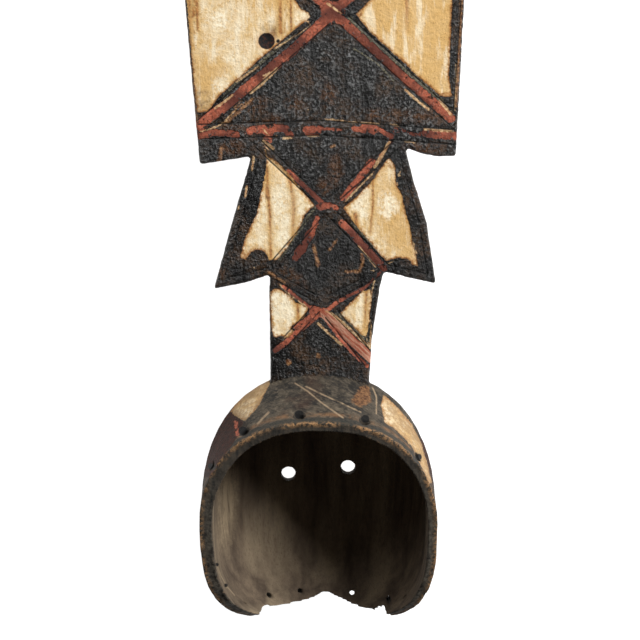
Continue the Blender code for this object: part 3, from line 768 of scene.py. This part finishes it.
    # brick red
    red = mix(ramp(flakes, 0.40, 0.66), shades["red"], shades["redBright"])
    red = mix(both(ramp(grit, 0.52, 0.68), 0.7), red, shades["rose"])
    red = mix(both(ramp(clumps, 0.50, 0.38), 0.7), red, shades["redDark"])
    red = mix(ramp(clouds, 0.56, 0.40), red, shades["redDark"])
    redDepth = calc("MAXIMUM", bench.stroke("red"), value("redPatch"))
    lost = both(ramp(noise(place, 170, 3), 0.590, 0.640), ramp(redDepth, 6.0, 1.0))
    redShare = both(edged(redDepth, 0.50, 0.3), calc("SUBTRACT", 1.0, lost))
    base = mix(redShare, base, red)
    roseShare = edged(bench.stroke("rose"), 0.35, 0.4)
    downArm = bench.stretched(place, (0, 0, -0.77), (9, 1, 1))
    roseColour = mix(ramp(noise(downArm, 320, 3, 0.6), 0.40, 0.60), shades["red"], shades["rose"])
    base = mix(roseShare, base, roseColour)

    # cream, yellowed, stained towards its edges and streaked with rust
    creamDepth = value("cream")
    cream = mix(ramp(lumps, 0.36, 0.60), shades["cream"], shades["creamLight"])
    cream = mix(both(ramp(value("height"), 230, 310), 0.35), cream, shades["creamYellow"])
    cream = mix(both(ramp(clouds, 0.44, 0.60), 0.5), cream, shades["creamYellow"])
    yellowed = ramp(calc("MULTIPLY_ADD", ragged, 3.0, value("yellow")), -5, 11)
    cream = mix(both(yellowed, 0.8), cream, shades["creamYellow"])
    cream = mix(both(ramp(mottles, 0.50, 0.62), 0.5), cream, shades["creamYellow"])
    cream = mix(both(ramp(noise(along, 120, 4, 0.6), 0.50, 0.62), 0.6), cream, shades["creamLight"])
    cream = mix(both(edged(value("white"), 1.6, 4.0), ramp(flakes, 0.36, 0.58)), cream, shades["creamLight"])
    smear = ramp(calc("MULTIPLY_ADD", ragged, 2.4, creamDepth), 5.0, 0.8)
    smearColour = mix(ramp(flakes, 0.38, 0.60), shades["creamYellow"], shades["stain"])
    cream = mix(both(smear, 0.8), cream, smearColour)
    deepEdge = ramp(calc("MULTIPLY_ADD", ragged, 1.2, creamDepth), 2.2, 0.6)
    cream = mix(both(deepEdge, 0.9), cream, mix(ramp(grit, 0.4, 0.55), shades["stain"], shades["stainDeep"]))
    patch = both(edged(value("stainPatch"), 1.4, 3.5), ramp(lumps, 0.30, 0.58))
    patchColour = mix(ramp(flakes, 0.4, 0.6), shades["stainDeep"], shades["olive"])
    cream = mix(both(patch, 0.85), cream, patchColour)
    onHead = calc("SUBTRACT", 1.0, onBoard)
    soiled = both(onHead, calc("MULTIPLY_ADD", ramp(mottles, 0.42, 0.58), 0.4, 0.45))
    cream = mix(soiled, cream, shades["soil"])
    drip = bench.stroke("stain")
    cream = mix(both(edged(calc("ADD", drip, 2.4), 0.6, 1.8), 0.7), cream, shades["creamYellow"])
    drip = both(edged(drip, 0.35, 1.0), ramp(noise(along, 70, 2), 0.30, 0.46))
    cream = mix(both(drip, 0.85), cream, mix(ramp(flakes, 0.46, 0.62), shades["stain"], shades["stainDeep"]))
    specks = both(ramp(grit, 0.585, 0.66), ramp(mottles, 0.46, 0.58))
    cream = mix(both(specks, 0.8), cream, shades["stainDeep"])
    creamShare = edged(creamDepth, 0.45, 0.3)
    base = mix(creamShare, base, cream)

    # pale ridges and chips of bare wood
    paleShare = edged(bench.stroke("pale"), bench.blend(onBoard, 0.08, 0.40), 0.4)
    paleShare = calc("MAXIMUM", paleShare, edged(value("palePatch"), 0.5, 0.3))
    paleShare = calc("MAXIMUM", paleShare, edged(bench.stroke("crown"), 0.08, 0.4))
    paleColour = mix(ramp(flakes, 0.42, 0.62), shades["tan"], shades["pale"])
    paleColour = mix(bench.blend(onBoard, 0.8, 0.0), paleColour, shades["fibre"])
    base = mix(both(paleShare, both(ramp(lumps, 0.28, 0.46), 0.85)), base, paleColour)

    # dirt and painted shade in the cut lines, the knot, and painted shade in the small holes
    lineShare = both(edged(bench.stroke("line"), 0.16, 0.45), ramp(lumps, 0.25, 0.45))
    base = mix(both(lineShare, 0.9), base, shades["crackAndShade"])
    knotColour = mix(ramp(flakes, 0.45, 0.65), shades["black"], shades["rust"])
    halo = both(ramp(value("knot"), -5.0, 0.0), 0.5)
    base = mix(both(both(halo, creamShare), ramp(lumps, 0.35, 0.6)), base, shades["stain"])
    base = mix(edged(value("knot"), 0.20, 0.4), base, knotColour)

    # bare wood in the hollow, and the thick dirty rim
    hollow = mix(ramp(noise(along, 70, 4, 0.6, 0.3), 0.34, 0.66), shades["hollowDark"], shades["hollow"])
    hollow = mix(both(ramp(noise(along, 24, 3, 0.55), 0.50, 0.70), 0.6), hollow, shades["hollowPale"])
    hollow = mix(both(ramp(fibres, 0.50, 0.70), 0.45), hollow, shades["hollowDark"])
    # a pale smear in the wood, with painted light where the lamp falls on the hollow's left wall
    paleWearAndLight = both(ramp(calc("MULTIPLY_ADD", ragged, 1.5, value("paleWearAndLight")), -3, 7), ramp(streaks, 0.30, 0.55))
    hollow = mix(both(paleWearAndLight, 0.6), hollow, shades["paleWearAndLight"])
    hollowShare = ramp(value("hollow"), -0.6, 0.6)
    base = mix(hollowShare, base, hollow)
    rim = mix(ramp(streaks, 0.35, 0.65), shades["rim"], shades["charcoalDark"])
    rim = mix(both(ramp(flakes, 0.52, 0.68), 0.5), rim, shades["charcoal"])
    cutShare = edged(value("cutWall"), 0.15, 0.5)
    rim = mix(both(ramp(value("height"), -60, -200), ramp(mottles, 0.40, 0.60)), rim, shades["rimGrey"])
    base = mix(cutShare, base, rim)
    worn = both(ramp(flakes, 0.47, 0.62), ramp(lumps, 0.46, 0.60))
    wornEdge = both(both(ramp(value("convex"), 0.06, 0.18), worn), onHead)
    nearLip = bench.blend(ramp(value("lip"), 8, 4), 0.25, 0.6)
    base = mix(both(wornEdge, nearLip), base, shades["rimChip"])
    chips = both(ramp(value("lip"), 6.5, 1.5), both(ramp(flakes, 0.42, 0.56), ramp(clouds, 0.36, 0.50)))
    base = mix(both(chips, 0.85), base, mix(ramp(grit, 0.4, 0.6), shades["orange"], shades["rimChip"]))
    base = mix(both(both(paleShare, hollowShare), 0.5), base, shades["paleWearAndLight"])
    # painted shade: the small holes are painted near-black inside
    base = mix(edged(bench.stroke("hole"), 0.30, 0.5), base, shades["crackAndShade"])

    painted = calc("MAXIMUM", calc("MAXIMUM", creamShare, redShare), roseShare)
    bare = calc("MAXIMUM", hollowShare, cutShare)
    crusty = both(onBoard, calc("SUBTRACT", 1.0, painted))
    crustRoughness = calc("MULTIPLY_ADD", grit, finish["crustSpread"], finish["crustRoughness"])
    roughness = bench.blend(crusty, finish["paintedRoughness"], crustRoughness)
    bareRoughness = both(calc("MAXIMUM", bare, onHead), finish["bareRoughness"])
    roughness = calc("MAXIMUM", roughness, bareRoughness)

    # relief in millimetres: crust, brushed cream, fibres, and the step at the edge of each coat
    crust = both(calc("ADD", both(clumps, 3.8), both(grit, 1.0)), calc("ADD", ramp(bands, 0.35, 0.65), 0.5))
    crust = calc("ADD", crust, both(ramp(streaks, 0.34, 0.46), 0.5))
    brushed = calc("ADD", both(fibres, 0.4), both(mottles, 1.5))
    relief = bench.blend(crusty, brushed, crust)
    relief = calc("SUBTRACT", relief, both(painted, 0.3))
    relief = calc("SUBTRACT", relief, both(lineShare, 0.7))
    inputs = {"Strength": finish["bump"], "Distance": finish["bumpHeight"], "Height": relief}
    bump = bench.put("ShaderNodeBump", inputs)
    shader = bench.tree.nodes["Principled BSDF"]
    bench.feed(shader.inputs["Base Color"], base)
    bench.feed(shader.inputs["Roughness"], roughness)
    bench.feed(shader.inputs["Normal"], bump.outputs[0])
    shader.inputs["Specular IOR Level"].default_value = finish["gloss"]
    return material


stage = {"floor": 9, "drop": 0.0006, "dome": 30, "shade": 0.35, "roughness": 0.9, "glow": 1.0}


def addStagePiece(name, shape, material):
    mesh = bpy.data.meshes.new(name)
    shape.to_mesh(mesh)
    shape.free()
    mesh.materials.append(material)
    ground = bpy.data.objects.new(name, mesh)
    bpy.context.scene.collection.objects.link(ground)
    return ground


def makeStage():
    material = bpy.data.materials.new("paleFloor")
    material.use_nodes = True
    shader = material.node_tree.nodes["Principled BSDF"]
    shader.inputs["Base Color"].default_value = (stage["shade"], stage["shade"], stage["shade"], 1)
    shader.inputs["Roughness"].default_value = stage["roughness"]
    shader.inputs["Emission Color"].default_value = (1, 1, 1, 1)
    shader.inputs["Emission Strength"].default_value = stage["glow"]
    floor = bmesh.new()
    bmesh.ops.create_grid(floor, x_segments=1, y_segments=1, size=stage["floor"])
    bmesh.ops.translate(floor, verts=floor.verts, vec=(0, 0, -stage["drop"]))
    addStagePiece("floor", floor, material)
    dome = bmesh.new()
    bmesh.ops.create_uvsphere(dome, u_segments=48, v_segments=24, radius=stage["dome"])
    backdrop = addStagePiece("backdrop", dome, material)
    # it is seen, and neither lights nor shades the mask
    backdrop.visible_diffuse = backdrop.visible_glossy = backdrop.visible_shadow = False


def makeLights():
    for name in ("key", "fill"):
        told = lights[name]
        data = bpy.data.lights.new(name, "AREA")
        data.size = told["size"]
        data.energy = told["power"]
        lamp = bpy.data.objects.new(name, data)
        lamp.location = upright @ Vector(told["place"])
        aim = upright @ Vector(lights["aim"]) - lamp.location
        lamp.rotation_euler = aim.to_track_quat("-Z", "Y").to_euler()
        bpy.context.scene.collection.objects.link(lamp)
    world = bpy.data.worlds.new("studio")
    world.use_nodes = True
    world.node_tree.nodes["Background"].inputs["Color"].default_value = (1, 1, 1, 1)
    world.node_tree.nodes["Background"].inputs["Strength"].default_value = lights["world"]
    bpy.context.scene.world = world
    bpy.context.scene.view_settings.view_transform = "Standard"


def makeCamera():
    data = bpy.data.cameras.new("camera")
    data.lens = camera["lens"]
    data.sensor_width = camera["sensor"]
    lens = bpy.data.objects.new("camera", data)
    lens.matrix_world = upright @ Matrix.Translation(eyePoint) @ Matrix.Rotation(-pitch, 4, "X")
    bpy.context.scene.collection.objects.link(lens)
    bpy.context.scene.camera = lens


makeCamera()
makeStage()
makeLights()
print("studio ready")

mask = makeMask()
mask.data.materials.clear()
mask.data.materials.append(makePaintedWood())
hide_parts("plank_mask")
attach(mask, "root")
print("mask finished")
